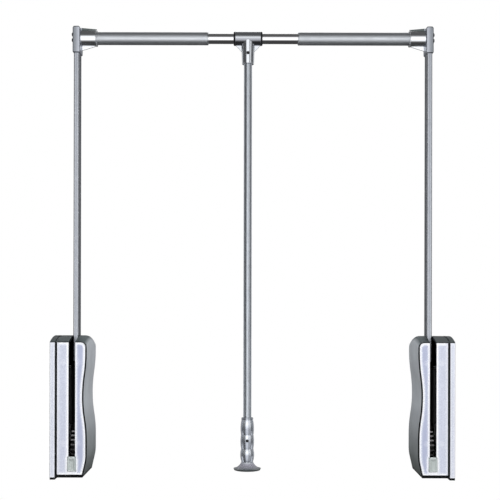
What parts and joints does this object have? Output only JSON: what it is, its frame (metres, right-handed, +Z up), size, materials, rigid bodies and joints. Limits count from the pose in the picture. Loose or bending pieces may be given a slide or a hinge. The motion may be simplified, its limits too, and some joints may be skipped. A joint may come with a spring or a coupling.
{
  "type": "pull-down wardrobe rail",
  "caption": "Telescopic clothes rail on swing arms that hinge in spring-loaded side housings, with a central pull rod and grip for lowering it.",
  "frame": {"origin": "midway between the side panels, in the plane of the upright arms, at the height of the wall plates' bottom edge", "axes": "+X along the rail to the right, +Y into the wardrobe, -Y to the front where the arms swing out, +Z up"},
  "size_m": [0.776, 0.126, 0.88],
  "materials": {
    "silver_cover": "satin silver anodised sheet, bright on the front",
    "charcoal_plastic": "charcoal moulded, fine grain",
    "grey_cover": "mid-grey moulded, fine grain",
    "bumper_rubber": "pale grey-green soft bumper, slightly translucent",
    "black_screw": "black zinc",
    "bright_steel": "ground steel",
    "spring_steel": "oiled spring wire",
    "black_plastic": "black glass-filled moulding",
    "dark_plastic": "black, slightly glossy",
    "white_acetal": "natural white bearing plastic",
    "zinc_casting": "grey die-cast zinc",
    "arm_silver": "satin silver powder coat",
    "rail_satin": "satin silver tube, faint drawing lines",
    "chrome_tube": "bright chrome",
    "silver_plastic": "silver-grey metallic plastic, satin"
  },
  "bodies": {
    "left_housing": {"left_wall_plate": "charcoal_plastic", "left_wall_trim": "silver_cover", "left_chassis": "charcoal_plastic", "left_side_cover": "grey_cover", "left_front_cover": "silver_cover", "left_bumper": "bumper_rubber", "left_lock_screws": "black_screw", "left_axle": "bright_steel", "left_damper_body": "black_plastic", "left_damper_screws": "bright_steel", "left_spring_sleeve": "black_plastic", "left_lift_spring": "spring_steel"},
    "left_frame": {"left_arm_bushes": "white_acetal", "left_arm_root": "black_plastic", "left_crank_pin": "bright_steel", "left_arm_tube": "arm_silver", "left_arm_rivets": "bright_steel", "left_rail_bracket": "silver_plastic", "left_bracket_screws": "black_screw", "left_rail_plug": "black_plastic", "left_rail_tube": "rail_satin", "left_end_bush": "silver_plastic"},
    "left_pinion": {"left_damper_pinion": "white_acetal"},
    "left_plunger": {"left_plunger": "zinc_casting"},
    "right_housing": {"right_wall_plate": "charcoal_plastic", "right_wall_trim": "silver_cover", "right_chassis": "charcoal_plastic", "right_side_cover": "grey_cover", "right_front_cover": "silver_cover", "right_bumper": "bumper_rubber", "right_lock_screws": "black_screw", "right_axle": "bright_steel", "right_damper_body": "black_plastic", "right_damper_screws": "bright_steel", "right_spring_sleeve": "black_plastic", "right_lift_spring": "spring_steel"},
    "right_frame": {"right_arm_bushes": "white_acetal", "right_arm_root": "black_plastic", "right_crank_pin": "bright_steel", "right_arm_tube": "arm_silver", "right_arm_rivets": "bright_steel", "right_rail_bracket": "silver_plastic", "right_bracket_screws": "black_screw", "right_rail_plug": "black_plastic", "right_rail_tube": "rail_satin", "right_end_bush": "silver_plastic"},
    "right_pinion": {"right_damper_pinion": "white_acetal"},
    "right_plunger": {"right_plunger": "zinc_casting"},
    "rail_centre": {"inner_tube": "chrome_tube", "inner_tube_guides": "black_plastic", "tee_ring": "spring_steel"},
    "pull": {"tee": "silver_plastic", "tee_bushes": "dark_plastic", "tee_screw": "black_screw", "pull_rod": "rail_satin", "handle": "silver_plastic", "handle_screw": "black_screw"}
  },
  "joints": [
    {"name": "arm_swing", "type": "hinge", "parent": "left_housing", "child": "left_frame", "pos_m": [-0.3455, 0, 0.06], "axis": [1, 0, 0], "range_deg": [0, 90], "stiffness_Nm_per_rad": 7, "springref_deg": -32.66},
    {"name": "width_adjust", "type": "slide", "parent": "left_housing", "child": "right_housing", "axis": [1, 0, 0], "range_m": [-0.09, 0.15]},
    {"name": "right_arm_swing", "type": "hinge", "parent": "right_housing", "child": "right_frame", "pos_m": [0.3455, 0, 0.06], "axis": [1, 0, 0], "range_deg": [0, 90], "stiffness_Nm_per_rad": 7, "springref_deg": -32.66},
    {"name": "rail_telescope", "type": "slide", "parent": "left_frame", "child": "rail_centre", "axis": [1, 0, 0], "range_m": [-0.045, 0.075]},
    {"name": "pull_swing", "type": "hinge", "parent": "rail_centre", "child": "pull", "pos_m": [-0.01, 0, 0.859], "axis": [1, 0, 0], "continuous": true},
    {"name": "left_damper_spin", "type": "hinge", "parent": "left_housing", "child": "left_pinion", "pos_m": [-0.3455, -0.03355, 0.02526], "axis": [1, 0, 0], "range_deg": [-270, 0]},
    {"name": "left_plunger_slide", "type": "slide", "parent": "left_housing", "child": "left_plunger", "axis": [0, 0, 1], "range_m": [0, 0.03677], "deforming": ["left_lift_spring"]},
    {"name": "right_damper_spin", "type": "hinge", "parent": "right_housing", "child": "right_pinion", "pos_m": [0.3455, -0.03355, 0.02526], "axis": [1, 0, 0], "range_deg": [-270, 0]},
    {"name": "right_plunger_slide", "type": "slide", "parent": "right_housing", "child": "right_plunger", "axis": [0, 0, 1], "range_m": [0, 0.03677], "deforming": ["right_lift_spring"]}
  ],
  "couplings": [
    {"joint": "right_arm_swing", "follows": "arm_swing", "ratio": 1},
    {"joint": "rail_telescope", "follows": "width_adjust", "ratio": 0.5},
    {"joint": "left_damper_spin", "follows": "arm_swing", "ratio": -3},
    {"joint": "left_plunger_slide", "follows": "arm_swing", "m_per_rad": 0.023408},
    {"joint": "right_damper_spin", "follows": "arm_swing", "ratio": -3},
    {"joint": "right_plunger_slide", "follows": "arm_swing", "m_per_rad": 0.023408}
  ]
}
